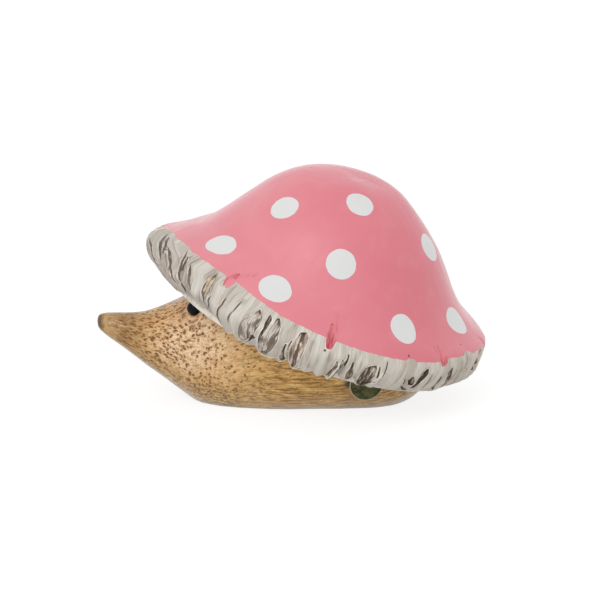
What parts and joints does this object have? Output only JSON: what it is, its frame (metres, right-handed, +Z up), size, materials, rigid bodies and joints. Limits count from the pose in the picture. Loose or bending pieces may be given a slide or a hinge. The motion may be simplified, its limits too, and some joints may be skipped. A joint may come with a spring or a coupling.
{
  "type": "hedgehog figurine",
  "caption": "Wooden hedgehog ornament: a pointed bamboo-root body under a tilted, carved toadstool cap painted pink with white dots.",
  "frame": {"origin": "on the floor under the middle of the whole figurine's box", "axes": "+Z up; the nose points toward -X; the animal's left flank, with the metal button, faces -Y"},
  "size_m": [0.1458, 0.1236, 0.089],
  "materials": {
    "bamboo_root": "sanded bamboo root with brown root pores and a thin satin varnish",
    "painted_cap": "carved light wood, pink acrylic paint with white dots, off-white washed rim, satin sealer",
    "black_bead": "polished black bead",
    "aged_brass": "dark aged brass, plain face, worn brighter at the edge",
    "pale_dowel": "plain turned hardwood"
  },
  "bodies": {
    "root": {"root_body": "bamboo_root", "toadstool_cap": "painted_cap", "eye_left": "black_bead", "eye_right": "black_bead", "metal_button": "aged_brass", "dowel_front": "pale_dowel", "dowel_rear": "pale_dowel"}
  },
  "joints": []
}
